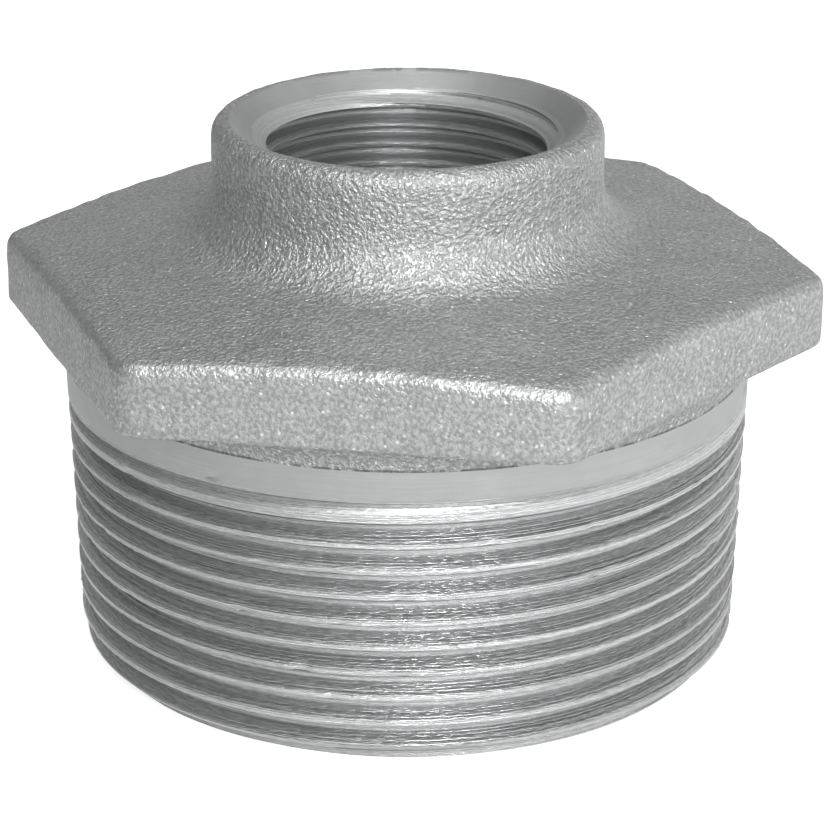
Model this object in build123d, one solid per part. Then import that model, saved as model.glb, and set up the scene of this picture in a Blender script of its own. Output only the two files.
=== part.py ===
from build123d import *
from build123d.topology import SkipClean
from math import atan, cos, degrees, hypot, radians, tan
import os

# Reducing hexagon bush, one piece of malleable cast iron: a hollow spigot with a taper pipe thread
# below, a hexagon for the spanner in the middle, and a round boss with a smaller thread inside it on top.
# Millimetres. The thread axis is Z, the spigot's end face stands on z = 0, and a flat faces -Y.

# Outside thread, pipe size 2: right hand, wider towards the hexagon by the taper
male_gauge_diameter = 59.614
male_gauge_length = 15.9
male_threads_per_inch = 11
male_diameter_taper = 1 / 16
male_full_length = 21.0
male_runout_length = 3.0
lead_in = 1.6
male_crest_angle_at_end_face = 23.4

# Inside thread, pipe size 3/4: right hand and parallel. It starts in the countersink under the rim and fades
# out above a short plain stretch of the hole.
female_major_diameter = 26.441
female_threads_per_inch = 14
female_full_length = 10.5
female_runout_length = 1.25
female_plain_length = 0.8
female_crest_angle_at_rim = 220.3

# Thread form: a 55 degree V, with flats for the rounding at crest and root. Where a thread fades out, the
# fading cut starts a little way back inside the full one, and is shallower there by a small step.
flank_angle = 55
depth_per_pitch = 0.640327
flat_per_pitch = 1 / 6
inch = 25.4
runout_lap = 0.12
runout_step = 0.02

# Spigot above the thread: turned smooth, then left as cast where it widens into the hexagon
land_height = 5.7
neck_height = 2.1
neck_flare = 0.85

# Hexagon, its height taken at the middle of a flat
flat_overhang = 1.7
hexagon_height = 6.9
hexagon_top_slope = 8.8
corner_round = 2.9
top_edge_round = 1.0
bottom_edge_round = 0.6

# Boss and its rim
boss_wall = 3.78
boss_height = 11.85
boss_foot_round = 5.0
rim_round = 1.4
rim_flat = 0.15
countersink_depth = 2.25

# Inside, as cast below the smaller thread
bore_mouth_chamfer = 1.2
spigot_wall = 4.3
cavity_draft = 1.5
cavity_corner_round = 4.0

# Turns of thread past each end, which are turned off again with the blank's spare length
spare_turns = 1

# How near an edge lies to where it is looked for
close = 0.001

half_flank = radians(flank_angle / 2)
top_slope = tan(radians(hexagon_top_slope))
male_pitch = inch / male_threads_per_inch
male_depth = depth_per_pitch * male_pitch
male_slope = male_diameter_taper / 2
female_pitch = inch / female_threads_per_inch
female_depth = depth_per_pitch * female_pitch
female_major_radius = female_major_diameter / 2
female_minor_radius = female_major_radius - female_depth


def crest_radius(z):
    """Radius of the outside thread's crests at height z."""
    return male_gauge_diameter / 2 + (z - male_gauge_length) * male_slope


# Heights, from the end face up
land_top = male_full_length + land_height
hexagon_bottom = land_top + neck_height
flat_top = hexagon_bottom + hexagon_height
overall_height = flat_top + boss_height
bore_top = overall_height - countersink_depth
female_full_bottom = bore_top - female_full_length
female_runout_bottom = female_full_bottom - female_runout_length
mouth_top = female_runout_bottom - female_plain_length
mouth_bottom = mouth_top - bore_mouth_chamfer

# Radii, from the axis out
mouth_radius = female_minor_radius + bore_mouth_chamfer
boss_radius = female_major_radius + boss_wall
countersink_radius = boss_radius - rim_round - rim_flat
cavity_radius = crest_radius(0) - male_depth - spigot_wall
land_radius = crest_radius(land_top)
flat_radius = land_radius + flat_overhang
disc_radius = flat_radius / cos(radians(30)) + corner_round


def hexagon_top(r):
    """Height of the hexagon's sloping top at radius r."""
    return flat_top + (flat_radius - r) * top_slope


def cavity_wall(z):
    """Radius of the cavity at height z, which narrows upwards by the draft."""
    return cavity_radius - z * tan(radians(cavity_draft))


def turned_blank():
    """The bush as if it were round all over, too long at both ends and not yet threaded.

    Its hexagon is still a disc that reaches past the corners.
    """
    spigot_end = -2 * spare_turns * male_pitch
    boss_end = overall_height + 2 * spare_turns * female_pitch
    cavity_top_radius = cavity_wall(mouth_bottom)
    cavity_top = mouth_bottom - (cavity_top_radius - mouth_radius) * top_slope
    corners = {
        "spigot inner": (cavity_wall(spigot_end), spigot_end),
        "spigot outer": (crest_radius(spigot_end), spigot_end),
        "land top": (land_radius, land_top),
        "neck top": (land_radius + neck_flare, hexagon_bottom),
        "disc bottom": (disc_radius, hexagon_bottom),
        "disc top": (disc_radius, hexagon_top(disc_radius)),
        "boss foot": (boss_radius, hexagon_top(boss_radius)),
        "boss outer": (boss_radius, boss_end),
        "boss inner": (female_minor_radius, boss_end),
        "mouth top": (female_minor_radius, mouth_top),
        "mouth bottom": (mouth_radius, mouth_bottom),
        "cavity corner": (cavity_top_radius, cavity_top),
    }
    rounds = {"boss foot": boss_foot_round, "cavity corner": cavity_corner_round}
    with BuildSketch(Plane.XZ) as section:
        with BuildLine():
            Polyline(*corners.values(), close=True)
        make_face()
        for name, radius in rounds.items():
            fillet(section.vertices().sort_by_distance(corners[name])[0], radius=radius)
    return revolve(section.sketch, axis=Axis.Z)


def runs_round_hexagon(edge):
    """Whether an edge goes round the hexagon's outside, above or below its flats and corners."""
    places = [edge @ 0, edge @ 0.5, edge @ 1]
    level = abs(places[0].Z - places[2].Z) < hexagon_height / 2
    return level and all(hypot(p.X, p.Y) > flat_radius - close for p in places)


def hexagon_trimmed(body):
    """Trims the disc to a hexagon with rounded corners, and rounds the edges above and below its flats."""
    with BuildSketch() as outline:
        RegularPolygon(radius=flat_radius, side_count=6, major_radius=False)
        fillet(outline.vertices(), radius=corner_round)
    body = body & extrude(outline.sketch, amount=overall_height)
    middle = (hexagon_bottom + flat_top) / 2
    upper = [e for e in body.edges() if runs_round_hexagon(e) and (e @ 0.5).Z > middle]
    body = body.fillet(top_edge_round, upper)
    lower = [e for e in body.edges() if runs_round_hexagon(e) and (e @ 0.5).Z < hexagon_bottom + close]
    return body.fillet(bottom_edge_round, lower)


def groove(root_radius, slope, pitch, bottom, top, open_side, crest_angle):
    """A solid V that winds up from the height bottom to the height top, to be cut away.

    root_radius is the radius of the groove's root at the bottom, and slope is what it gains with height.
    open_side is 1 for an outside thread, whose groove opens outwards, and -1 for an inside one. crest_angle
    is where a crest would cross z = 0.
    """
    cone = atan(slope)
    path = Edge.make_helix(pitch / cos(cone), top - bottom, root_radius, (0, 0, bottom), angle=degrees(cone))
    root = flat_per_pitch * pitch / 2
    past_crest = root / 2 / tan(half_flank)
    reach = depth_per_pitch * pitch + past_crest
    mouth = root + reach * tan(half_flank)
    open_radius = root_radius + open_side * reach
    corners = [(root_radius, bottom - root), (open_radius, bottom - mouth)]
    corners += [(open_radius, bottom + mouth), (root_radius, bottom + root)]
    outline = Wire.make_polygon([(r, 0, z) for r, z in corners])
    cutter = Solid.sweep(Face(outline), path, is_frenet=True)
    return cutter.rotate(Axis.Z, crest_angle + 180 + 360 * bottom / pitch)


def threaded_outside(body):
    """Cuts the outside thread: full depth from below the end face, then fading out of the surface."""
    below = -spare_turns * male_pitch
    angle = male_crest_angle_at_end_face
    full = groove(crest_radius(below) - male_depth, male_slope, male_pitch, below, male_full_length, 1, angle)
    fading_bottom = male_full_length - runout_lap
    fading_top = male_full_length + male_runout_length
    root = crest_radius(fading_bottom) - male_depth + runout_step
    slope = (crest_radius(fading_top) - root) / (fading_top - fading_bottom)
    fading = groove(root, slope, male_pitch, fading_bottom, fading_top, 1, angle)
    return body - full - fading


def threaded_inside(body):
    """Cuts the inside thread: it fades in above the hole's plain stretch and leaves above the rim."""
    above = overall_height + spare_turns * female_pitch
    angle = female_crest_angle_at_rim - 360 * overall_height / female_pitch
    full = groove(female_major_radius, 0, female_pitch, female_full_bottom, above, -1, angle)
    fading_top = female_full_bottom + runout_lap
    slope = (female_depth - runout_step) / (fading_top - female_runout_bottom)
    fading = groove(female_minor_radius, slope, female_pitch, female_runout_bottom, fading_top, -1, angle)
    return body - full - fading


def waste(*corners):
    """A ring of waste with these corners as its section, to be turned off."""
    with BuildSketch(Plane.XZ) as section:
        with BuildLine():
            Polyline(*corners, close=True)
        make_face()
    return revolve(section.sketch, axis=Axis.Z)


def ends_turned(body):
    """Turns the blank to length, with a lead-in for the outside thread and a countersink over the other."""
    bottom = -3 * spare_turns * male_pitch
    end_radius = crest_radius(0) - lead_in
    lead = (end_radius + 2 * lead_in, 2 * lead_in)
    below = waste((0, bottom), (0, 0), (end_radius, 0), lead, (disc_radius, bottom))
    top = overall_height + 3 * spare_turns * female_pitch
    cone_slope = countersink_depth / (countersink_radius - female_minor_radius)
    cone_tip = overall_height - countersink_radius * cone_slope
    inner_edge = (countersink_radius, overall_height)
    above = waste((0, top), (0, cone_tip), inner_edge, (disc_radius, overall_height))
    body = body - below - above
    rim = [e for e in body.edges() if min((e @ 0).Z, (e @ 0.5).Z) > overall_height - close]
    rim = [e for e in rim if hypot((e @ 0).X, (e @ 0).Y) > boss_radius - close]
    return body.fillet(rim_round, rim)


def kept_in_halves(body):
    """Parts the body at the plane y = 0 and joins it again, with each half's faces kept as they are.

    A turn of thread is then two faces, each half a turn long, and none winds on round the axis.
    """
    with SkipClean():
        near, far = body.split(Plane.XZ, keep=Keep.BOTH)
        return near.fuse(far)


def bush():
    """The casting with its hexagon, threaded outside and inside and then turned to length."""
    body = threaded_inside(threaded_outside(hexagon_trimmed(turned_blank())))
    return kept_in_halves(ends_turned(body))


os.makedirs("parts", exist_ok=True)
export_step(bush(), "parts/hex_bushing.step")
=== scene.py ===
import bmesh
import bpy
import numpy as np
from math import atan, atan2, cos, degrees, pi, radians, sin, sqrt, tan
from mathutils import Matrix, Vector


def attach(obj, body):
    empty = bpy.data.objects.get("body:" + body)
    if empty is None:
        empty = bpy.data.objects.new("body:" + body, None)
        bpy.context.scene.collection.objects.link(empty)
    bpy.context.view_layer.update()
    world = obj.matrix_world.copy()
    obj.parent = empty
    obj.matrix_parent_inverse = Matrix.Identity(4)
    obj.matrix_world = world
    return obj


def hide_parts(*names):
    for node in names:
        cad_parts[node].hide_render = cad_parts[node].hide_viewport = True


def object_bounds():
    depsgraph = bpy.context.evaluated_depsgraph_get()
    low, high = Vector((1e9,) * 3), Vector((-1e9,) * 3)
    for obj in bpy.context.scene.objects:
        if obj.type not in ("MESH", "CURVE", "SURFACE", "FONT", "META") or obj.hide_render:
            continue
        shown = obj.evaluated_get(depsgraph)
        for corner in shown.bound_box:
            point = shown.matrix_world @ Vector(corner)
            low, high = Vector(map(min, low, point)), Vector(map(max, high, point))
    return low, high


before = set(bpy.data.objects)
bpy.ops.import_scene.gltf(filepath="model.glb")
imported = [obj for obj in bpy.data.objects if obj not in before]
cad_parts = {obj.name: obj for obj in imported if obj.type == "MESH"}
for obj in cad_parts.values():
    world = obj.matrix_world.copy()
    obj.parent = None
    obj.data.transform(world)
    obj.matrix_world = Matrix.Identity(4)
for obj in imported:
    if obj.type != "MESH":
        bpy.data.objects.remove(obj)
cad_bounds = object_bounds()
mm = 0.001


# The skin of the casting: malleable iron poured in sand and dipped in molten zinc. The sand's grain shows
# through the zinc as small bumps and dark pits, under a dull grey bloom; single grains carry a painted glint.
sand_grain = 0.36 * mm
sand_lump = 1.3 * mm
loose_grain = 0.5 * mm
zinc_bloom = 5.0 * mm
cast_relief = 0.09 * mm
land_top = 26.7 * mm
dark_line_width = 0.3 * mm
dark_line_rag = 1.6 * mm
zinc_grey = 0.29
zinc_roughness = 0.46
zinc_tint = (0.985, 0.995, 1.0)
white = (1.0, 1.0, 1.0, 1.0)


class Nodes:
    """A node tree being wired, of a material or of Geometry Nodes."""

    def __init__(self, tree):
        self.tree = tree

    def node(self, kind, wires=None, **settings):
        made = self.tree.nodes.new(kind)
        for key, value in settings.items():
            setattr(made, key, value)
        for key, value in (wires or {}).items():
            self.feed(made.inputs[key], value)
        return made

    def feed(self, socket, value):
        if isinstance(value, bpy.types.NodeSocket):
            self.tree.links.new(value, socket)
        else:
            socket.default_value = value

    def math(self, operation, *values, clamp=False):
        made = self.node("ShaderNodeMath", operation=operation, use_clamp=clamp)
        for socket, value in zip(made.inputs, values):
            self.feed(socket, value)
        return made.outputs[0]

    def total(self, base, *parts):
        """The base and each part's value times its share, added up; a part is (value, share)."""
        for value, share in parts:
            base = self.math("MULTIPLY_ADD", value, share, base)
        return base

    def darkened(self, level, mask, share):
        """The level with this share of it taken off where the mask is 1."""
        return self.math("MULTIPLY", level, self.math("MULTIPLY_ADD", mask, -share, 1.0))

    def vector(self, x, y, z):
        return self.node("ShaderNodeCombineXYZ", {0: x, 1: y, 2: z}).outputs[0]

    def parts(self, vector):
        """The x, y and z of a vector."""
        return self.node("ShaderNodeSeparateXYZ", {0: vector}).outputs

    def ramp(self, value, *stops):
        """A smooth change from each stop's level to the next; a stop is (place, level)."""
        made = self.node("ShaderNodeValToRGB", {"Fac": value})
        made.color_ramp.interpolation = "EASE"
        while len(made.color_ramp.elements) < len(stops):
            made.color_ramp.elements.new(1.0)
        for element, (place, level) in zip(made.color_ramp.elements, stops):
            element.position = place
            element.color = (level, level, level, 1.0)
        return made.outputs["Color"]

    def noise(self, place, size, detail=2.0, roughness=0.5):
        """Noise from 0 to 1 whose lumps are about size across."""
        wires = {"Vector": place, "Scale": 1 / size, "Detail": detail, "Roughness": roughness}
        return self.node("ShaderNodeTexNoise", wires).outputs["Fac"]


def metal(name, metallic):
    """A new metal's material, its wiring and its shader."""
    material = bpy.data.materials.new(name)
    material.use_nodes = True
    wiring = Nodes(material.node_tree)
    shader = material.node_tree.nodes["Principled BSDF"]
    shader.inputs["Metallic"].default_value = metallic
    return material, wiring, shader


def dress(wiring, shader, level, roughness, relief, height, strength=1.0):
    """Gives a metal's shader its level of grey, its roughness and a relief of this height."""
    black_socket, zinc_socket, colour_output = 6, 7, 2
    mixed = wiring.node("ShaderNodeMix", {"Factor": level}, data_type="RGBA")
    mixed.inputs[black_socket].default_value = (0.0, 0.0, 0.0, 1.0)
    mixed.inputs[zinc_socket].default_value = (*zinc_tint, 1.0)
    wiring.feed(shader.inputs["Base Color"], mixed.outputs[colour_output])
    wiring.feed(shader.inputs["Roughness"], roughness)
    bump = wiring.node("ShaderNodeBump", {"Height": relief, "Distance": height, "Strength": strength})
    wiring.feed(shader.inputs["Normal"], bump.outputs["Normal"])


def cast_zinc():
    """The galvanised skin of the casting."""
    material, wiring, shader = metal("galvanised_cast_iron", 0.8)
    place = wiring.node("ShaderNodeTexCoord").outputs["Object"]
    grain = wiring.ramp(wiring.noise(place, sand_grain, 2.0, 0.6), (0.32, 0.0), (0.68, 1.0))
    lumps = wiring.noise(place, sand_lump, 2.0)
    bloom = wiring.noise(place, zinc_bloom, 3.0)

    # Single grains of sand under the zinc, raised in the relief and painted lighter as a painted glint: each
    # lies in its own cell, and only some cells have one
    cells = wiring.node("ShaderNodeTexVoronoi", {"Vector": place, "Scale": 1 / loose_grain})
    luck = wiring.parts(cells.outputs["Color"])[0]
    dome = wiring.ramp(cells.outputs["Distance"], (0.05, 1.0), (0.42, 0.0))
    nodule_and_glint = wiring.math("MULTIPLY", dome, wiring.ramp(luck, (0.6, 0.0), (0.92, 1.0)))
    # Bloom and grain are the zinc's own tone; the lighter single grains are a painted glint
    level = wiring.total(zinc_grey, (bloom, 0.12), (grain, 0.19), (nodule_and_glint, 0.42))

    # The colour is darker along a ragged line round the casting, just above the top of the land
    height = wiring.parts(place)[2]
    over_land = wiring.math("MULTIPLY_ADD", height, 1 / dark_line_width, -land_top / dark_line_width)
    ragged = wiring.ramp(wiring.noise(place, dark_line_rag, 3.0), (0.36, 0.0), (0.52, 1.0))
    dark_line = wiring.math("MULTIPLY", wiring.ramp(over_land, (0.4, 1.0), (1.0, 0.0)), ragged)
    dark_line = wiring.math("MULTIPLY", dark_line, wiring.math("GREATER_THAN", over_land, -0.5))
    level = wiring.darkened(level, dark_line, 0.55)

    # The mould pressed the hexagon's sides smoother than the rest
    side = wiring.node("ShaderNodeAttribute", attribute_name="side").outputs["Fac"]
    strength = wiring.total(1.0, (side, -0.5))
    roughness = wiring.total(zinc_roughness, (grain, -0.12), (nodule_and_glint, -0.12))
    relief = wiring.total(grain, (lumps, 1.5), (nodule_and_glint, 0.8))
    dress(wiring, shader, level, roughness, relief, cast_relief, strength)
    return material


# The turned faces: the land over the outside thread, the lead-in, the end face, the countersink and the land
# under the inside thread. A lathe tool left fine rings on them.
ring_width = 0.16 * mm
ring_stretch = 0.02
turned_cloud = 3.0 * mm
turned_grain = 0.25 * mm
turned_relief = 0.012 * mm
turned_grey = 0.39
turned_roughness = 0.33


def turned_metal():
    """The bright turned faces."""
    material, wiring, shader = metal("turned_iron", 0.95)
    place = wiring.node("ShaderNodeTexCoord").outputs["Object"]
    x, y, z = wiring.parts(place)
    squares = wiring.math("ADD", wiring.math("POWER", x, 2.0), wiring.math("POWER", y, 2.0))
    ring = wiring.math("ADD", z, wiring.math("SQRT", squares))
    drawn_x = wiring.math("MULTIPLY", x, ring_stretch)
    drawn_y = wiring.math("MULTIPLY", y, ring_stretch)
    rings = wiring.noise(wiring.vector(drawn_x, drawn_y, ring), ring_width, 3.0, 0.7)
    cloud = wiring.noise(place, turned_cloud, 3.0)
    grain = wiring.noise(place, turned_grain, 2.0)
    level = wiring.total(turned_grey, (cloud, 0.1), (rings, 0.12))
    roughness = wiring.total(turned_roughness, (cloud, 0.12))
    relief = wiring.total(grain, (rings, 0.6))
    dress(wiring, shader, level, roughness, relief, turned_relief)
    return material


# The cut threads: the die tore and smeared the iron along its path, so the flanks carry fine streaks that run
# round with the groove, and the crests are bright where they were rubbed.
mm_per_inch = 25.4
outside_pitch = mm_per_inch / 11 * mm
inside_pitch = mm_per_inch / 14 * mm
cut_relief = 0.022 * mm
cut_grey = 0.46
cut_roughness = 0.40


def cut_thread(name, pitch, tearing, soot_and_shade_depth):
    """A cut thread's finish.

    tearing is how rough the cut is, from 0 to 1. The last argument is how deep a groove has to be, as a share
    of the full one, to carry all of the soot and painted shade on its downward flank.
    """
    material, wiring, shader = metal(name, 0.95)
    groove = wiring.node("ShaderNodeAttribute", attribute_name="groove").outputs["Vector"]
    rise = wiring.node("ShaderNodeAttribute", attribute_name="rise").outputs["Fac"]
    along, over = wiring.parts(groove)[:2]

    def streaked(width, length, low, high):
        """Streaks along the groove, from 0 to 1, each about so wide and so long."""
        place = wiring.vector(wiring.math("MULTIPLY", along, width / length), over, 0.0)
        return wiring.ramp(wiring.noise(place, width, 2.0, 0.6), (low, 0.0), (high, 1.0))

    lines = streaked(0.13 * mm, 70 * mm, 0.40, 0.60)
    dashes = streaked(0.10 * mm, 0.9 * mm, 0.42, 0.62)
    cracks = streaked(0.16 * mm, 30 * mm, 0.28, 0.38)
    torn = streaked(0.30 * mm, 1.4 * mm, 0.35, 0.65)
    rubbed = wiring.ramp(rise, (0.75, 0.0), (0.95, 1.0))
    sunk = wiring.math("SUBTRACT", 1.0, rise, clamp=True)
    plain = cut_grey - 0.11 * tearing
    streaks = (lines, 0.20 * tearing), (dashes, 0.12 * tearing), (torn, 0.04 * tearing)
    # The deeper parts of the groove are painted lighter: painted light standing in for light that reaches
    # into them
    level = wiring.total(plain, (sunk, 0.16), *streaks, (rubbed, 0.12))
    whole = wiring.total(1 - 0.5 * tearing, (cracks, 0.5 * tearing))
    level = wiring.math("MULTIPLY", level, whole)

    # Soot and old oil stay on the flank that faces down; its darkening is partly that soot and partly painted
    # shade, as the flank faces away from the light
    share_over = wiring.math("DIVIDE", over, pitch)
    soot_and_shade = wiring.ramp(share_over, (0.14, 0.0), (0.24, 1.0), (0.47, 1.0), (0.51, 0.0))
    soot_and_shade = wiring.math("MULTIPLY", soot_and_shade, wiring.ramp(sunk, (0.0, 0.0), (soot_and_shade_depth, 1.0)))
    level = wiring.darkened(level, soot_and_shade, 0.6)
    roughness = wiring.total(cut_roughness, (lines, -0.08))
    relief = wiring.total(lines, (dashes, 0.9), (torn, 0.3))
    dress(wiring, shader, level, roughness, relief, cut_relief * tearing)
    return material


outside_cut = cut_thread("outside_thread_iron", outside_pitch, 1.0, 0.06)
inside_cut = cut_thread("inside_thread_iron", inside_pitch, 0.4, 0.3)
finishes = [cast_zinc(), turned_metal(), outside_cut, inside_cut]
cast, turned, threaded_outside, threaded_inside = range(4)


# The outside thread: right hand, 11 turns an inch, and wider towards the hexagon. It is one continuous groove
# that starts in the end face, over a lead-in cone, and fades out where the die was drawn back.
columns = 360
rows_per_turn = 8
crest_place = 7 / 12
depth_per_pitch = 0.640327
outside_turns = 12
gauge_height = 15.9 * mm
gauge_radius = 59.614 / 2 * mm
taper = 1 / 32
crest_angle_at_end_face = 23.4
lead_in = 1.6 * mm
fade_bend = 1.5
wave_width = 0.9 * mm
patch_width = 2.2 * mm
patch_seed_step = 7.0
trimmed_depth = 0.03 * mm
weld_distance = 0.0005 * mm


def outside_crest(z):
    """Radius of the outside thread's crests at height z."""
    return gauge_radius + (z - gauge_height) * taper


def thread_tree(name, sizes, material):
    """A sheet that follows the groove: its columns go round, and its rows from root to root over a crest."""
    tree = bpy.data.node_groups.new(name, "GeometryNodeTree")
    for title, value in sizes.items():
        kind = "NodeSocketInt" if isinstance(value, int) else "NodeSocketFloat"
        tree.interface.new_socket(title, in_out="INPUT", socket_type=kind)
    tree.interface.new_socket("Geometry", in_out="OUTPUT", socket_type="NodeSocketGeometry")
    wiring = Nodes(tree)
    math = wiring.math
    size = wiring.node("NodeGroupInput").outputs

    # A flat sheet first, one unit long for each turn and one unit wide from root to root
    along = math("MULTIPLY_ADD", size["Turns"], size["Columns Per Turn"], 1.0)
    wires = {"Size X": size["Turns"], "Size Y": 1.0, "Vertices X": along}
    wires["Vertices Y"] = math("ADD", size["Rows Per Turn"], 1.0)
    sheet = wiring.node("GeometryNodeMeshGrid", wires).outputs["Mesh"]
    on_sheet = wiring.parts(wiring.node("GeometryNodeInputPosition").outputs[0])
    turn = math("MULTIPLY_ADD", size["Turns"], 0.5, on_sheet[0])
    row = math("ADD", on_sheet[1], 0.5)

    # The V: flat at root and crest, a sixth of the pitch wide each, with two straight flanks
    root_row, crest_row, past_crest_row = 1 / 8, 4 / 8, 5 / 8
    corners = (0, 0), (root_row, 1 / 6), (crest_row, 1 / 2), (past_crest_row, 2 / 3), (1, 1)
    across = straight_lined(wiring, row, *corners)
    cut = straight_lined(wiring, row, (0, 1), (root_row, 1), (crest_row, 0), (past_crest_row, 0), (1, 1))
    height = math("MULTIPLY_ADD", math("ADD", turn, across), size["Pitch"], size["Start Height"])

    # Where the thread fades out, the V is drawn out of the surface
    past_full = math("MULTIPLY", math("SUBTRACT", height, size["Full Height"]), size["Open Side"])
    drawn_out = math("DIVIDE", math("MAXIMUM", past_full, 0.0), size["Fade Length"])
    drawn_out = math("POWER", drawn_out, fade_bend)
    cut_left = math("MAXIMUM", math("SUBTRACT", cut, drawn_out), 0.0)

    # The die leaves small waves everywhere and nicks in the crests
    angle = math("MULTIPLY", turn, 2 * pi)
    east = math("COSINE", angle)
    north = math("SINE", angle)
    reach = math("MULTIPLY_ADD", height, size["Taper"], size["Crest Radius"])
    spot = wiring.vector(math("MULTIPLY", east, reach), math("MULTIPLY", north, reach), height)
    wires = {"Vector": spot, "W": size["Seed"], "Scale": 1 / wave_width, "Detail": 2.0}
    waves = wiring.node("ShaderNodeTexNoise", wires, noise_dimensions="4D").outputs["Fac"]
    patch_seed = math("ADD", size["Seed"], patch_seed_step)
    wires = {"Vector": spot, "W": patch_seed, "Scale": 1 / patch_width, "Detail": 2.0}
    patches = wiring.node("ShaderNodeTexNoise", wires, noise_dimensions="4D").outputs["Fac"]
    on_crest = math("SUBTRACT", 1.0, math("MULTIPLY", cut, 3.0), clamp=True)
    nick = math("MULTIPLY", math("SUBTRACT", patches, size["Nick Threshold"], clamp=True), size["Nick Depth"])
    wave = math("MULTIPLY", math("SUBTRACT", waves, 0.5), size["Wave Height"])
    burr = math("MULTIPLY", math("SUBTRACT", waves, size["Burr Threshold"], clamp=True), size["Burr Height"])
    nick = math("SUBTRACT", nick, burr)
    loss = math("MULTIPLY_ADD", cut_left, size["Depth"], math("MULTIPLY_ADD", nick, on_crest, wave))
    thread_radius = math("SUBTRACT", reach, math("MULTIPLY", loss, size["Open Side"]))

    # The sheet ends on the lead-in and the end face, or on the countersink
    past_end = math("MULTIPLY", math("SUBTRACT", height, size["End Height"]), size["End Side"])
    past_end = math("MAXIMUM", past_end, 0.0)
    pulled_back = math("MULTIPLY", past_end, math("SUBTRACT", 1.0, size["End Squeeze"]))
    level = math("SUBTRACT", height, math("MULTIPLY", pulled_back, size["End Side"]))
    over_cone = math("SUBTRACT", level, size["Cone Height"])
    cone = math("MULTIPLY_ADD", over_cone, size["Cone Slope"], size["Cone Radius"])
    cone = math("SUBTRACT", cone, math("MULTIPLY", past_end, size["End Creep"]))
    thread_out = math("MULTIPLY", thread_radius, size["Open Side"])
    cone_out = math("MULTIPLY", cone, size["Open Side"])
    radius = math("MULTIPLY", math("MINIMUM", thread_out, cone_out), size["Open Side"])

    # The still flat sheet keeps where it lies along the groove and across it, for the die's streaks
    length = math("MULTIPLY", angle, size["Crest Radius"])
    unrolled = wiring.vector(length, math("MULTIPLY", across, size["Pitch"]), 0.0)
    wires = {"Geometry": sheet, "Name": "groove"}
    marked = wiring.node("GeometryNodeStoreNamedAttribute", wires, data_type="FLOAT2", domain="CORNER")
    wiring.feed(next(s for s in marked.inputs if s.name == "Value" and s.enabled), unrolled)

    # How far up from the root each place lies; where the cone trimmed the thread, it counts as a crest
    trimmed = math("MULTIPLY", math("SUBTRACT", thread_radius, radius), size["Open Side"])
    trimmed = math("DIVIDE", trimmed, trimmed_depth, clamp=True)
    rise = math("MAXIMUM", math("SUBTRACT", 1.0, cut_left), trimmed)
    wires = {"Geometry": marked.outputs[0], "Name": "rise", "Value": rise}
    marked = wiring.node("GeometryNodeStoreNamedAttribute", wires, data_type="FLOAT", domain="POINT")
    placed = wiring.vector(math("MULTIPLY", east, radius), math("MULTIPLY", north, radius), level)
    wires = {"Geometry": marked.outputs[0], "Position": placed}
    laid = wiring.node("GeometryNodeSetPosition", wires).outputs[0]
    wires = {"Geometry": laid, "Distance": weld_distance}
    welded = wiring.node("GeometryNodeMergeByDistance", wires).outputs[0]
    real = wiring.node("GeometryNodeRealizeInstances", {"Geometry": welded}).outputs[0]
    painted = wiring.node("GeometryNodeSetMaterial", {"Geometry": real, "Material": material}).outputs[0]
    wiring.node("NodeGroupOutput", {"Geometry": painted})
    return tree


def straight_lined(wiring, value, *points):
    """A curve of straight lines through the points, from 0 to 1 both ways."""
    made = wiring.node("ShaderNodeFloatCurve", {"Value": value})
    curve = made.mapping.curves[0]
    curve.points[0].location = points[0]
    curve.points[-1].location = points[-1]
    for x, y in points[1:-1]:
        curve.points.new(x, y)
    for point in curve.points:
        point.handle_type = "VECTOR"
    made.mapping.update()
    return made.outputs[0]


def grown(tree, sizes, start):
    """Runs a tree on the mesh start with these sizes, and returns the result as a plain mesh."""
    holder = bpy.data.objects.new(tree.name, start)
    bpy.context.scene.collection.objects.link(holder)
    modifier = holder.modifiers.new(tree.name, "NODES")
    modifier.node_group = tree
    for item in tree.interface.items_tree:
        if item.in_out == "INPUT" and item.name in sizes:
            modifier[item.identifier] = sizes[item.name]
    bpy.context.view_layer.update()
    evaluated = holder.evaluated_get(bpy.context.evaluated_depsgraph_get())
    mesh = bpy.data.meshes.new_from_object(evaluated)
    bpy.data.objects.remove(holder)
    return mesh


end_face_radius = outside_crest(0) - lead_in
outside_sizes = {
    "Turns": outside_turns,
    "Columns Per Turn": columns,
    "Rows Per Turn": rows_per_turn,
    "Pitch": outside_pitch,
    "Depth": depth_per_pitch * outside_pitch,
    "Start Height": -outside_pitch * (crest_angle_at_end_face / 360 + crest_place + 1),
    "Full Height": 21.0 * mm,
    "Fade Length": 3.0 * mm,
    "Open Side": 1.0,
    "Crest Radius": outside_crest(0),
    "Taper": taper,
    "Wave Height": 0.03 * mm,
    "Nick Threshold": 0.6,
    "Nick Depth": 1.6 * mm,
    "Burr Threshold": 0.66,
    "Burr Height": 2.5 * mm,
    "Cone Height": 0.0,
    "Cone Radius": end_face_radius,
    "Cone Slope": 1.0,
    "End Height": 0.0,
    "End Side": -1.0,
    "End Squeeze": 0.0,
    "End Creep": 1.0,
    "Seed": 3.0,
}
outside_tree = thread_tree("outside_thread", outside_sizes, outside_cut)
outside_thread = grown(outside_tree, outside_sizes, bpy.data.meshes.new("empty"))


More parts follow.
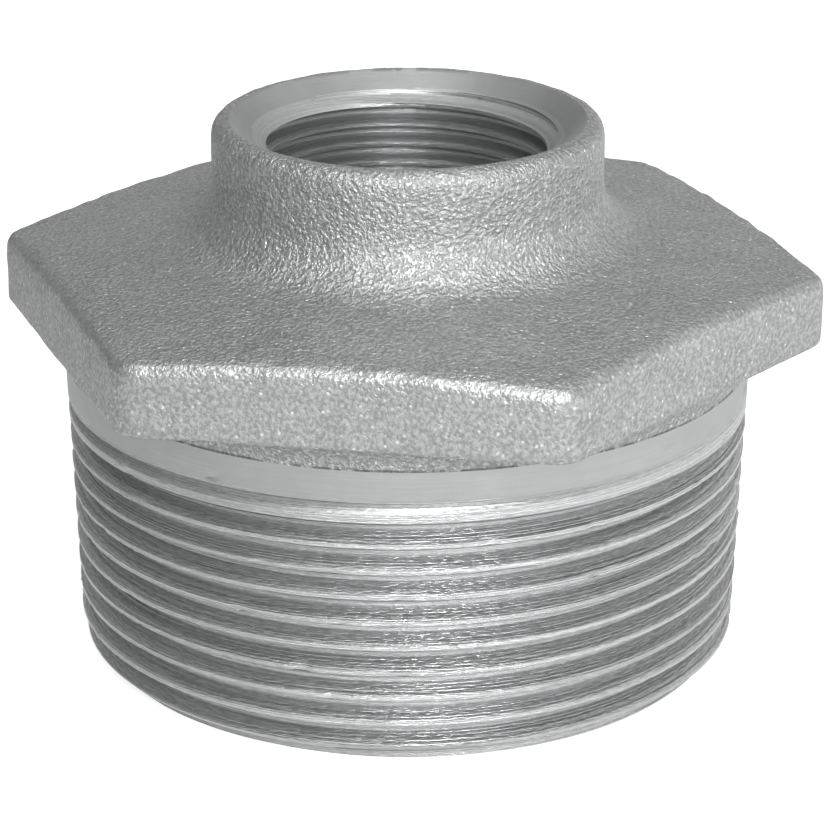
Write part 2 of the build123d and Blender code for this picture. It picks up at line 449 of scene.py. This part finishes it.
# The inside thread: right hand and parallel, 14 turns an inch. It starts in the countersink under the rim and
# fades out above a short plain land.
rim_height = float(cad_bounds[1][2])
inside_turns = 8
inside_major_radius = 26.441 / 2 * mm
inside_crest_radius = inside_major_radius - depth_per_pitch * inside_pitch
crest_angle_at_rim = 220.3
boss_wall = 3.78 * mm
rim_round = 1.4 * mm
rim_flat = 0.15 * mm
countersink_depth = 2.25 * mm
boss_radius = inside_major_radius + boss_wall
countersink_radius = boss_radius - rim_round - rim_flat
countersink_bottom = rim_height - countersink_depth
countersink_slope = (countersink_radius - inside_crest_radius) / countersink_depth
full_thread_depth = 11.75 * mm
thread_sheet_depth = 1.45 * mm
turns_below_rim = crest_angle_at_rim / 360 + crest_place + (inside_turns - 1)
inside_sizes = {
    **outside_sizes,
    "Turns": inside_turns,
    "Pitch": inside_pitch,
    "Depth": depth_per_pitch * inside_pitch,
    "Start Height": rim_height - inside_pitch * turns_below_rim,
    "Full Height": rim_height - full_thread_depth,
    "Fade Length": 1.25 * mm,
    "Open Side": -1.0,
    "Crest Radius": inside_crest_radius,
    "Taper": 0.0,
    "Wave Height": 0.01 * mm,
    "Nick Depth": 0.5 * mm,
    "Burr Height": 0.0,
    "Cone Height": countersink_bottom,
    "Cone Radius": inside_crest_radius,
    "Cone Slope": countersink_slope,
    "End Height": rim_height - thread_sheet_depth,
    "End Side": 1.0,
    "End Squeeze": 0.4,
    "End Creep": 0.0,
    "Seed": 5.0,
}
inside_tree = thread_tree("inside_thread", inside_sizes, inside_cut)
inside_thread = grown(inside_tree, inside_sizes, bpy.data.meshes.new("empty"))


# The outside of the casting, from the land over the thread up to the rim: a flared neck, the hexagon with its
# sloping top and soft edges, and the round boss on a wide fillet. All of it is one piece with the spigot.
hexagon_bottom = 28.8 * mm
flat_radius = float(cad_bounds[1][1])
flat_top = 35.7 * mm
hexagon_top_slope = tan(radians(8.8))
corner_round = 2.9 * mm
top_edge_round = 1.0 * mm
bottom_edge_round = 0.6 * mm
neck_flare = 0.85 * mm
boss_foot_round = 5.0 * mm
columns_per_side = columns // 6
corner_share = 0.2
thread_sheet_top = 26.45 * mm
neck_corner = 0.05 * mm
rim_strip = 0.2 * mm

column_angles = np.arange(columns) * 2 * pi / columns
circle = np.stack([np.cos(column_angles), np.sin(column_angles)], axis=1)


def hexagon_frame():
    """For each column, its place on the hexagon of the corner rounds' centres, and the way out from it."""
    half_side = (flat_radius - corner_round) * tan(radians(30))
    places = []
    ways_out = []
    for column in range(columns):
        side, step = divmod(column, columns_per_side)
        from_middle = 2 * step / columns_per_side - 1
        straight = 1 - corner_share
        along = max(-1, min(1, from_middle / straight)) * half_side
        turn = (abs(from_middle) - straight) / corner_share if abs(from_middle) > straight else 0
        facing = radians(60 * side + 30)
        out = facing + radians(30) * turn * (1 if from_middle > 0 else -1)
        normal = np.array([cos(facing), sin(facing)])
        tangent = np.array([-sin(facing), cos(facing)])
        places.append(normal * (flat_radius - corner_round) + tangent * along)
        ways_out.append([cos(out), sin(out)])
    return np.array(places), np.array(ways_out)


hexagon_centres, hexagon_ways_out = hexagon_frame()


def round_row(radius, height):
    """A round row of the casting."""
    return np.column_stack([circle * radius, np.full(columns, height)])


def hexagon_row(inset, height):
    """A row on the hexagon's outline, set in by an amount; inset and height may change with the column."""
    reach = np.asarray(corner_round - inset).reshape(-1, 1)
    outline = hexagon_centres + hexagon_ways_out * reach
    return np.column_stack([outline, np.broadcast_to(height, columns)])


def top_height(row):
    """The height of the hexagon's sloping top at a row's places."""
    return flat_top + (flat_radius - np.hypot(row[:, 0], row[:, 1])) * hexagon_top_slope


def between(first, last, count):
    """Rows evenly spaced between two rows, without those two."""
    return [first + (last - first) * (step + 1) / (count + 1) for step in range(count)]


def casting_rows():
    """The rows from the land to the countersink, each with the finish of the faces above it."""
    underside_rows, low_edge_steps, side_rows, top_edge_steps = 3, 4, 9, 6
    top_rows, foot_steps, wall_rows, rim_steps = 17, 12, 6, 7
    neck_steps = (0.05, 0.3, 0.6, 0.85)
    rows = []

    def add(row, finish):
        rows.append((row, finish))

    land_radius = outside_crest(land_top)
    neck_radius = land_radius + neck_flare
    add(round_row(outside_crest(thread_sheet_top), thread_sheet_top), turned)
    add(round_row(land_radius, land_top), cast)
    for step in neck_steps:
        radius = land_radius + neck_flare * step**2
        add(round_row(radius, land_top + (hexagon_bottom - land_top) * step), cast)
    root = round_row(neck_radius + neck_corner, hexagon_bottom)
    add(root, cast)
    underside = hexagon_row(bottom_edge_round, hexagon_bottom)
    for row in between(root, underside, underside_rows):
        add(row, cast)
    for step in range(low_edge_steps + 1):
        angle = radians(90 * step / low_edge_steps)
        inset = bottom_edge_round * (1 - sin(angle))
        add(hexagon_row(inset, hexagon_bottom + bottom_edge_round * (1 - cos(angle))), cast)

    # Up the flats and over the rounded top edge
    edge = hexagon_row(0.0, 0.0)
    inner = hexagon_row(top_edge_round, 0.0)
    slope = (top_height(inner) - top_height(edge)) / top_edge_round
    steep = np.sqrt(1 + slope**2)
    centre = top_height(edge) + slope * top_edge_round - top_edge_round * steep
    side_bottom = hexagon_row(0.0, hexagon_bottom + bottom_edge_round)
    side_top = hexagon_row(0.0, centre)
    for row in between(side_bottom, side_top, side_rows):
        add(row, cast)
    for step in range(top_edge_steps + 1):
        angle = pi - (pi / 2 - np.arctan(slope)) * step / top_edge_steps
        inset = top_edge_round * (1 + np.cos(angle))
        add(hexagon_row(inset, centre + top_edge_round * np.sin(angle)), cast)
    top_edge = rows[-1][0]

    # In over the sloping top, then up the fillet at the boss's foot
    tilt = sqrt(1 + hexagon_top_slope**2)
    fillet_radius = boss_radius + boss_foot_round
    fillet_height = flat_top + (flat_radius - fillet_radius) * hexagon_top_slope + boss_foot_round * tilt
    start = -pi / 2 - atan(hexagon_top_slope)

    def foot_row(angle):
        """A row of the fillet, at an angle round the fillet's centre."""
        radius = fillet_radius + boss_foot_round * cos(angle)
        return round_row(radius, fillet_height + boss_foot_round * sin(angle))

    for row in between(top_edge, foot_row(start), top_rows):
        row[:, 2] = top_height(row)
        add(row, cast)
    for step in range(foot_steps + 1):
        add(foot_row(start + (-pi - start) * step / foot_steps), cast)
    wall_bottom = rows[-1][0]
    wall_top = round_row(boss_radius, rim_height - rim_round)
    for row in between(wall_bottom, wall_top, wall_rows):
        add(row, cast)
    for step in range(rim_steps + 1):
        angle = pi / 2 * step / rim_steps
        radius = boss_radius - rim_round * (1 - cos(angle))
        add(round_row(radius, rim_height - rim_round * (1 - sin(angle))), cast)
    add(round_row(countersink_radius, rim_height), turned)
    add(round_row(countersink_radius - rim_strip * countersink_slope, rim_height - rim_strip), turned)
    return rows


# The cavity inside the spigot and hexagon, left by a sand core: a short plain land and a chamfer under the
# inside thread, a sloping roof, a rounded corner, and a wall that widens towards the end face.
mouth_top = 32.6 * mm
mouth_bottom = 31.55 * mm
mouth_chamfer = 1.2 * mm
mouth_radius = inside_crest_radius + mouth_chamfer
mouth_corner = 0.02 * mm
spigot_wall = 4.3 * mm
cavity_corner_round = 4.0 * mm
cavity_radius = outside_crest(0) - depth_per_pitch * outside_pitch - spigot_wall
cavity_draft = radians(1.5)
cavity_edge_round = 0.2 * mm


def cavity_wall(z):
    """The cavity's radius at height z."""
    return cavity_radius - z * tan(cavity_draft)


def cavity_rows():
    """The rows from the land under the inside thread down to the end face, with their faces' finishes."""
    roof_steps, corner_steps, wall_steps = 8, 8, 12
    rows = []

    def add(radius, height, finish=cast):
        rows.append((round_row(radius, height), finish))

    add(inside_crest_radius, mouth_top, turned)
    add(inside_crest_radius + mouth_corner, mouth_top - mouth_corner)
    add(mouth_radius, mouth_bottom)
    top_radius = cavity_wall(mouth_bottom)
    roof_angle = atan(hexagon_top_slope)
    roof_corner = mouth_bottom - (top_radius - mouth_radius) * hexagon_top_slope

    # The round in the roof's corner touches the sloping roof and the drafted wall; its centre is found
    # by going back and forth between the two
    tries = 20
    reach = cavity_corner_round
    centre_height = roof_corner - reach / cos(roof_angle)
    for _ in range(tries):
        centre_radius = cavity_wall(centre_height) - reach / cos(cavity_draft)
        roof = mouth_bottom - (centre_radius - mouth_radius) * hexagon_top_slope
        centre_height = roof - reach / cos(roof_angle)
    first = pi / 2 - roof_angle
    last = -cavity_draft
    roof_end = centre_radius + reach * cos(first)
    for step in range(roof_steps):
        radius = mouth_radius + (roof_end - mouth_radius) * (step + 1) / roof_steps
        add(radius, mouth_bottom - (radius - mouth_radius) * hexagon_top_slope)
    for step in range(1, corner_steps + 1):
        angle = first + (last - first) * step / corner_steps
        add(centre_radius + reach * cos(angle), centre_height + reach * sin(angle))
    wall_top = centre_height + reach * sin(last)
    for step in range(1, wall_steps + 1):
        height = wall_top + (cavity_edge_round - wall_top) * step / wall_steps
        add(cavity_wall(height), height)
    add(cavity_wall(cavity_edge_round) + cavity_edge_round, 0.0, turned)
    return rows


# The whole bush: the two threads and the two stretches of casting are welded row to row into one closed skin,
# which then takes the unevenness of a sand casting wherever it wasn't turned.
column_step = 360 / columns
end_face_reach = 0.01 * mm
countersink_reach = 1.3 * mm
edge_reach = 1.7 * mm
side_reach = 1.3 * mm


def add_mesh(skin, mesh, threaded):
    """Adds a thread's sheet to the skin, and gives each face the finish of where it lies."""
    thread_end = outside_sizes["Full Height"] + outside_sizes["Fade Length"]
    known = set(skin.faces)
    skin.from_mesh(mesh)
    for face in skin.faces:
        if face not in known:
            centre = face.calc_center_median()
            on_land = thread_end < centre.z < land_top
            on_end = centre.z < end_face_reach
            on_countersink = centre.z > rim_height - countersink_reach
            face.material_index = turned if on_land or on_end or on_countersink else threaded


def add_rows(skin, rows):
    """Adds a stretch of casting to the skin, and returns the vertices of its first and last rows."""
    rings = [[skin.verts.new(place) for place in row] for row, finish in rows]
    for (row, finish), low, high in zip(rows, rings, rings[1:]):
        for column in range(columns):
            after = (column + 1) % columns
            face = skin.faces.new((low[column], low[after], high[after], high[column]))
            face.material_index = finish
    return rings[0], rings[-1]


def column_angle(vertex):
    """The angle of a vertex round the axis, from -180 to 180 degrees."""
    return degrees(atan2(vertex.co.y, vertex.co.x))


def sheet_ends(vertices):
    """The vertices along each end of a thread's sheet: once round from the seam, then back along its step."""
    edge = {v for v in vertices if v.is_boundary}
    loops = []
    for start in edge:
        beside = [e.other_vert(start) for e in start.link_edges if e.is_boundary]
        ahead = [v for v in beside if abs(column_angle(v) - column_step) < column_step / 2]
        if abs(column_angle(start)) < column_step / 10 and ahead:
            loop = [start, ahead[0]]
            while True:
                onward = [e.other_vert(loop[-1]) for e in loop[-1].link_edges if e.is_boundary]
                after = next(v for v in onward if v is not loop[-2])
                if after is start:
                    break
                loop.append(after)
            loops.append(loop)
    return sorted(loops, key=lambda loop: loop[0].co.z)


def close_ring(skin, loop, ring, above):
    """Joins a thread sheet's end to a round row above or below it, with one many-sided face at its step."""
    climb = list(reversed(loop[columns:]))
    for column in range(columns):
        after = (column + 1) % columns
        corners = [ring[column], ring[after], loop[column + 1], loop[column]]
        if above and column == 0:
            corners += climb
        elif not above and column == columns - 1:
            corners[2:3] = [loop[0], *climb]
        skin.faces.new(corners).material_index = turned


def add_thread(skin, mesh, threaded, low_ring, high_ring):
    """Adds a thread's sheet and joins both its ends to the casting."""
    known = len(skin.verts)
    add_mesh(skin, mesh, threaded)
    skin.verts.ensure_lookup_table()
    low, high = sheet_ends(skin.verts[known:])
    close_ring(skin, low, low_ring, above=False)
    close_ring(skin, high, high_ring, above=True)


def welded_skin():
    """The bush's whole surface as one closed mesh."""
    skin = bmesh.new()
    skin.verts.layers.float.new("rise")
    land_ring, rim_ring = add_rows(skin, casting_rows())
    mouth_ring, end_ring = add_rows(skin, cavity_rows())
    add_thread(skin, outside_thread, threaded_outside, end_ring, land_ring)
    add_thread(skin, inside_thread, threaded_inside, mouth_ring, rim_ring)
    bmesh.ops.recalc_face_normals(skin, faces=skin.faces)
    for face in skin.faces:
        face.smooth = True
    mesh = bpy.data.meshes.new("bush")
    skin.to_mesh(mesh)
    skin.free()
    for finish in finishes:
        mesh.materials.append(finish)
    return mesh


def skin_tree(name, sizes):
    """Raises and sinks the cast faces of a mesh a little, and leaves the machined ones as they are."""
    tree = bpy.data.node_groups.new(name, "GeometryNodeTree")
    tree.interface.new_socket("Geometry", in_out="INPUT", socket_type="NodeSocketGeometry")
    for title in sizes:
        tree.interface.new_socket(title, in_out="INPUT", socket_type="NodeSocketFloat")
    tree.interface.new_socket("Geometry", in_out="OUTPUT", socket_type="NodeSocketGeometry")
    wiring = Nodes(tree)
    math = wiring.math
    size = wiring.node("NodeGroupInput").outputs
    number = wiring.node("GeometryNodeInputMaterialIndex").outputs[0]
    is_cast = math("COMPARE", number, float(cast), 0.5)
    spot = wiring.node("GeometryNodeInputPosition").outputs[0]

    def unevenness(width, seed_step):
        """From -1 to 1, in lumps of about this width."""
        wires = {"Vector": spot, "W": math("ADD", size["Seed"], seed_step)}
        wires["Scale"] = math("DIVIDE", 1.0, width)
        noise = wiring.node("ShaderNodeTexNoise", wires, noise_dimensions="4D").outputs["Fac"]
        middle_half = math("MULTIPLY_ADD", noise, 2.0, -0.5, clamp=True)
        return math("MULTIPLY_ADD", middle_half, 2.0, -1.0)

    def noted(name):
        """What mark_hexagon noted under this name."""
        kind = "GeometryNodeInputNamedAttribute"
        return wiring.node(kind, {"Name": name}, data_type="FLOAT").outputs["Attribute"]

    edge = noted("edge")
    side = noted("side")
    lumps = math("MULTIPLY", unevenness(size["Lump Width"], 0.0), size["Lump Height"])
    grains = math("MULTIPLY", unevenness(size["Grain Width"], 5.0), size["Grain Height"])
    nodule_height = math("MULTIPLY", size["Nodule Height"], edge)
    nodules = math("MULTIPLY", unevenness(size["Nodule Width"], 9.0), nodule_height)
    all_lumps = math("ADD", math("ADD", lumps, grains), nodules)

    # The sides of the hexagon only sink, so that it doesn't grow past its width over flats and corners
    room = math("ADD", size["Lump Height"], size["Grain Height"])
    room = math("MULTIPLY_ADD", size["Nodule Height"], edge, room)
    raised = math("SUBTRACT", all_lumps, math("MULTIPLY", room, side))
    normal = wiring.node("GeometryNodeInputNormal").outputs[0]
    shift = wiring.node("ShaderNodeVectorMath", {0: normal, "Scale": raised}, operation="SCALE").outputs[0]
    share = math("MULTIPLY_ADD", is_cast, 2.0, -1.0, clamp=True)
    shift = wiring.node("ShaderNodeVectorMath", {0: shift, "Scale": share}, operation="SCALE").outputs[0]
    moved = wiring.node("ShaderNodeVectorMath", {0: spot, 1: shift}, operation="ADD").outputs[0]
    x, y, z = wiring.parts(moved)
    placed = wiring.vector(x, y, math("MINIMUM", z, size["Rim Height"]))
    wires = {"Geometry": size["Geometry"], "Position": placed}
    laid = wiring.node("GeometryNodeSetPosition", wires).outputs[0]
    real = wiring.node("GeometryNodeRealizeInstances", {"Geometry": laid}).outputs[0]
    wires = {"Geometry": real, "Selection": is_cast, "Material": finishes[cast]}
    painted = wiring.node("GeometryNodeSetMaterial", wires).outputs[0]
    wiring.node("NodeGroupOutput", {"Geometry": painted})
    return tree


def mark_hexagon(mesh):
    """Notes from 0 to 1 how near each vertex is to the hexagon's top edge, and to its sides."""
    flat_places = np.empty(3 * len(mesh.vertices))
    mesh.vertices.foreach_get("co", flat_places)
    places = flat_places.reshape(-1, 3)
    facings = np.radians(np.arange(6) * 60 + 30)
    reach = np.max(places[:, :2] @ np.array([np.cos(facings), np.sin(facings)]), axis=1)
    in_from_side = flat_radius - reach
    down_from_top = top_height(places) - places[:, 2]
    below_bottom = np.clip((hexagon_bottom - places[:, 2]) / mm, 0, 1)
    far = np.hypot(in_from_side, down_from_top) / edge_reach
    edge = np.clip(1 - far, 0, 1) * (places[:, 2] > hexagon_bottom)
    side = np.clip((side_reach - in_from_side) / mm, 0, 1) * (1 - below_bottom)
    for name, values in (("edge", edge), ("side", side)):
        mesh.attributes.new(name, "FLOAT", "POINT").data.foreach_set("value", values)


smooth_mesh = welded_skin()
mark_hexagon(smooth_mesh)
skin_sizes = {
    "Lump Width": 3.0 * mm,
    "Lump Height": 0.05 * mm,
    "Grain Width": 1.3 * mm,
    "Grain Height": 0.03 * mm,
    "Nodule Width": 1.9 * mm,
    "Nodule Height": 0.16 * mm,
    "Rim Height": rim_height,
    "Seed": 11.0,
}
bush_mesh = grown(skin_tree("cast_skin", skin_sizes), skin_sizes, smooth_mesh)
bush = bpy.data.objects.new("bush_skin", bush_mesh)
bpy.context.scene.collection.objects.link(bush)
bush_mesh.set_sharp_from_angle(angle=radians(35))
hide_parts("hex_bushing")
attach(bush, "root")


# The floor: a wide pale sheet under the bush. To the camera it is as white as the background, except where
# the bush shades it.
def seen_by_eye(wiring):
    """1 for a ray that shows the background, straight or in metal or glass, and 0 for light on its way."""
    rays = wiring.node("ShaderNodeLightPath").outputs
    mirrored = wiring.math("MAXIMUM", rays["Is Glossy Ray"], rays["Is Transmission Ray"])
    return wiring.math("MAXIMUM", rays["Is Camera Ray"], mirrored)


def pale_floor():
    """A matt sheet that shines a little of its own, more towards the right, as the room does."""
    half = 2.0
    grey = 0.82
    shine_in_middle, shine_per_metre, least_shine, shine_to_camera = 0.20, 1.8, 0.02, 0.75
    mesh = bpy.data.meshes.new("floor")
    corners = [(-half, -half, 0), (half, -half, 0), (half, half, 0), (-half, half, 0)]
    mesh.from_pydata(corners, [], [(0, 1, 2, 3)])
    floor = bpy.data.objects.new("floor", mesh)
    bpy.context.scene.collection.objects.link(floor)
    material = bpy.data.materials.new("pale_floor")
    material.use_nodes = True
    wiring = Nodes(material.node_tree)
    wiring.tree.nodes.clear()
    matt = wiring.node("ShaderNodeBsdfDiffuse", {"Color": (grey, grey, grey, 1.0)}).outputs[0]
    to_right = wiring.parts(wiring.node("ShaderNodeTexCoord").outputs["Object"])[0]
    shine = wiring.math("MULTIPLY_ADD", to_right, shine_per_metre, shine_in_middle)
    shine = wiring.math("MAXIMUM", shine, least_shine)
    is_camera = wiring.node("ShaderNodeLightPath").outputs["Is Camera Ray"]
    strength = wiring.math("MAXIMUM", shine, wiring.math("MULTIPLY", is_camera, shine_to_camera))
    glow = wiring.node("ShaderNodeEmission", {"Color": white, "Strength": strength}).outputs[0]
    lit = wiring.node("ShaderNodeAddShader", {0: matt, 1: glow}).outputs[0]
    shown = wiring.node("ShaderNodeMixShader", {0: seen_by_eye(wiring), 1: matt, 2: lit}).outputs[0]
    from_below = wiring.node("ShaderNodeNewGeometry").outputs["Backfacing"]
    gone = wiring.node("ShaderNodeBsdfTransparent").outputs[0]
    shown = wiring.node("ShaderNodeMixShader", {0: from_below, 1: shown, 2: gone}).outputs[0]
    wiring.node("ShaderNodeOutputMaterial", {"Surface": shown})
    mesh.materials.append(material)
    return floor


pale_floor()


# The light: a pale room, brighter low down, in front and on the right, a soft lamp overhead and a little
# forward, and a stronger and smaller one in front on the right.
def soft_lamp(name, place, target, size, power):
    """A square lamp of this size and power at a place, turned to the target."""
    light = bpy.data.lights.new(name, "AREA")
    light.shape = "SQUARE"
    light.size = size
    light.energy = power
    lamp = bpy.data.objects.new(name, light)
    lamp.location = place
    away = (lamp.location - target).to_track_quat("Z", "Y")
    lamp.rotation_euler = away.to_euler()
    bpy.context.scene.collection.objects.link(lamp)


middle = Vector((0, 0, 0.03))
soft_lamp("overhead_lamp", Vector((0.0, -0.18, 0.6)), middle, 0.35, 0.7)
soft_lamp("front_lamp", Vector((0.17, -0.47, 0.36)), middle, 0.2, 2.3)

wall_level, wall_height, wall_gain_to_right = 0.85, 0.34, 0.6
room_level, gain_to_back, gain_to_right, gain_to_top = 0.44, -0.15, 0.28, 0.24
share_on_bush = 0.5
world = bpy.data.worlds.new("pale_room")
bpy.context.scene.world = world
world.use_nodes = True
room = Nodes(world.node_tree)
room.tree.nodes.clear()
right, back, up = room.parts(room.node("ShaderNodeTexCoord").outputs["Generated"])
white_wall = room.ramp(up, (0.0, wall_level), (wall_height, 0.0))
white_wall = room.math("MULTIPLY", white_wall, room.math("MULTIPLY_ADD", right, wall_gain_to_right, 1.0))
all_round = room.total(room_level, (back, gain_to_back), (right, gain_to_right), (up, gain_to_top))
level = room.math("MAXIMUM", white_wall, all_round)
share = room.math("MULTIPLY_ADD", seen_by_eye(room), 1 - share_on_bush, share_on_bush)
strength = room.math("MULTIPLY", level, share)
is_camera = room.node("ShaderNodeLightPath").outputs["Is Camera Ray"]
strength = room.math("MAXIMUM", strength, is_camera)
glow = room.node("ShaderNodeBackground", {"Color": white, "Strength": strength}).outputs[0]
room.node("ShaderNodeOutputWorld", {"Surface": glow})
bpy.context.scene.view_settings.view_transform = "Standard"


# The camera: it stands in front of the bush and a little to the right, and looks down on it. Its place and
# its lens are those that the photo's outline was fitted with.
camera_place = (44.61 * mm, -269.22 * mm, 126.59 * mm)
camera_yaw = -0.1621
camera_pitch = 0.3724
camera_roll = 0.0024
focal_pixels = 3282.65
photo_pixels = 828
camera_data = bpy.data.cameras.new("camera")
camera_data.sensor_width = 36.0
camera_data.lens = focal_pixels / photo_pixels * camera_data.sensor_width
camera_data.clip_start = 0.01
camera = bpy.data.objects.new("camera", camera_data)
turn = Matrix.Rotation(-camera_yaw, 4, "Z") @ Matrix.Rotation(pi / 2 - camera_pitch, 4, "X")
camera.matrix_world = Matrix.Translation(camera_place) @ turn @ Matrix.Rotation(camera_roll, 4, "Z")
bpy.context.scene.collection.objects.link(camera)
bpy.context.scene.camera = camera
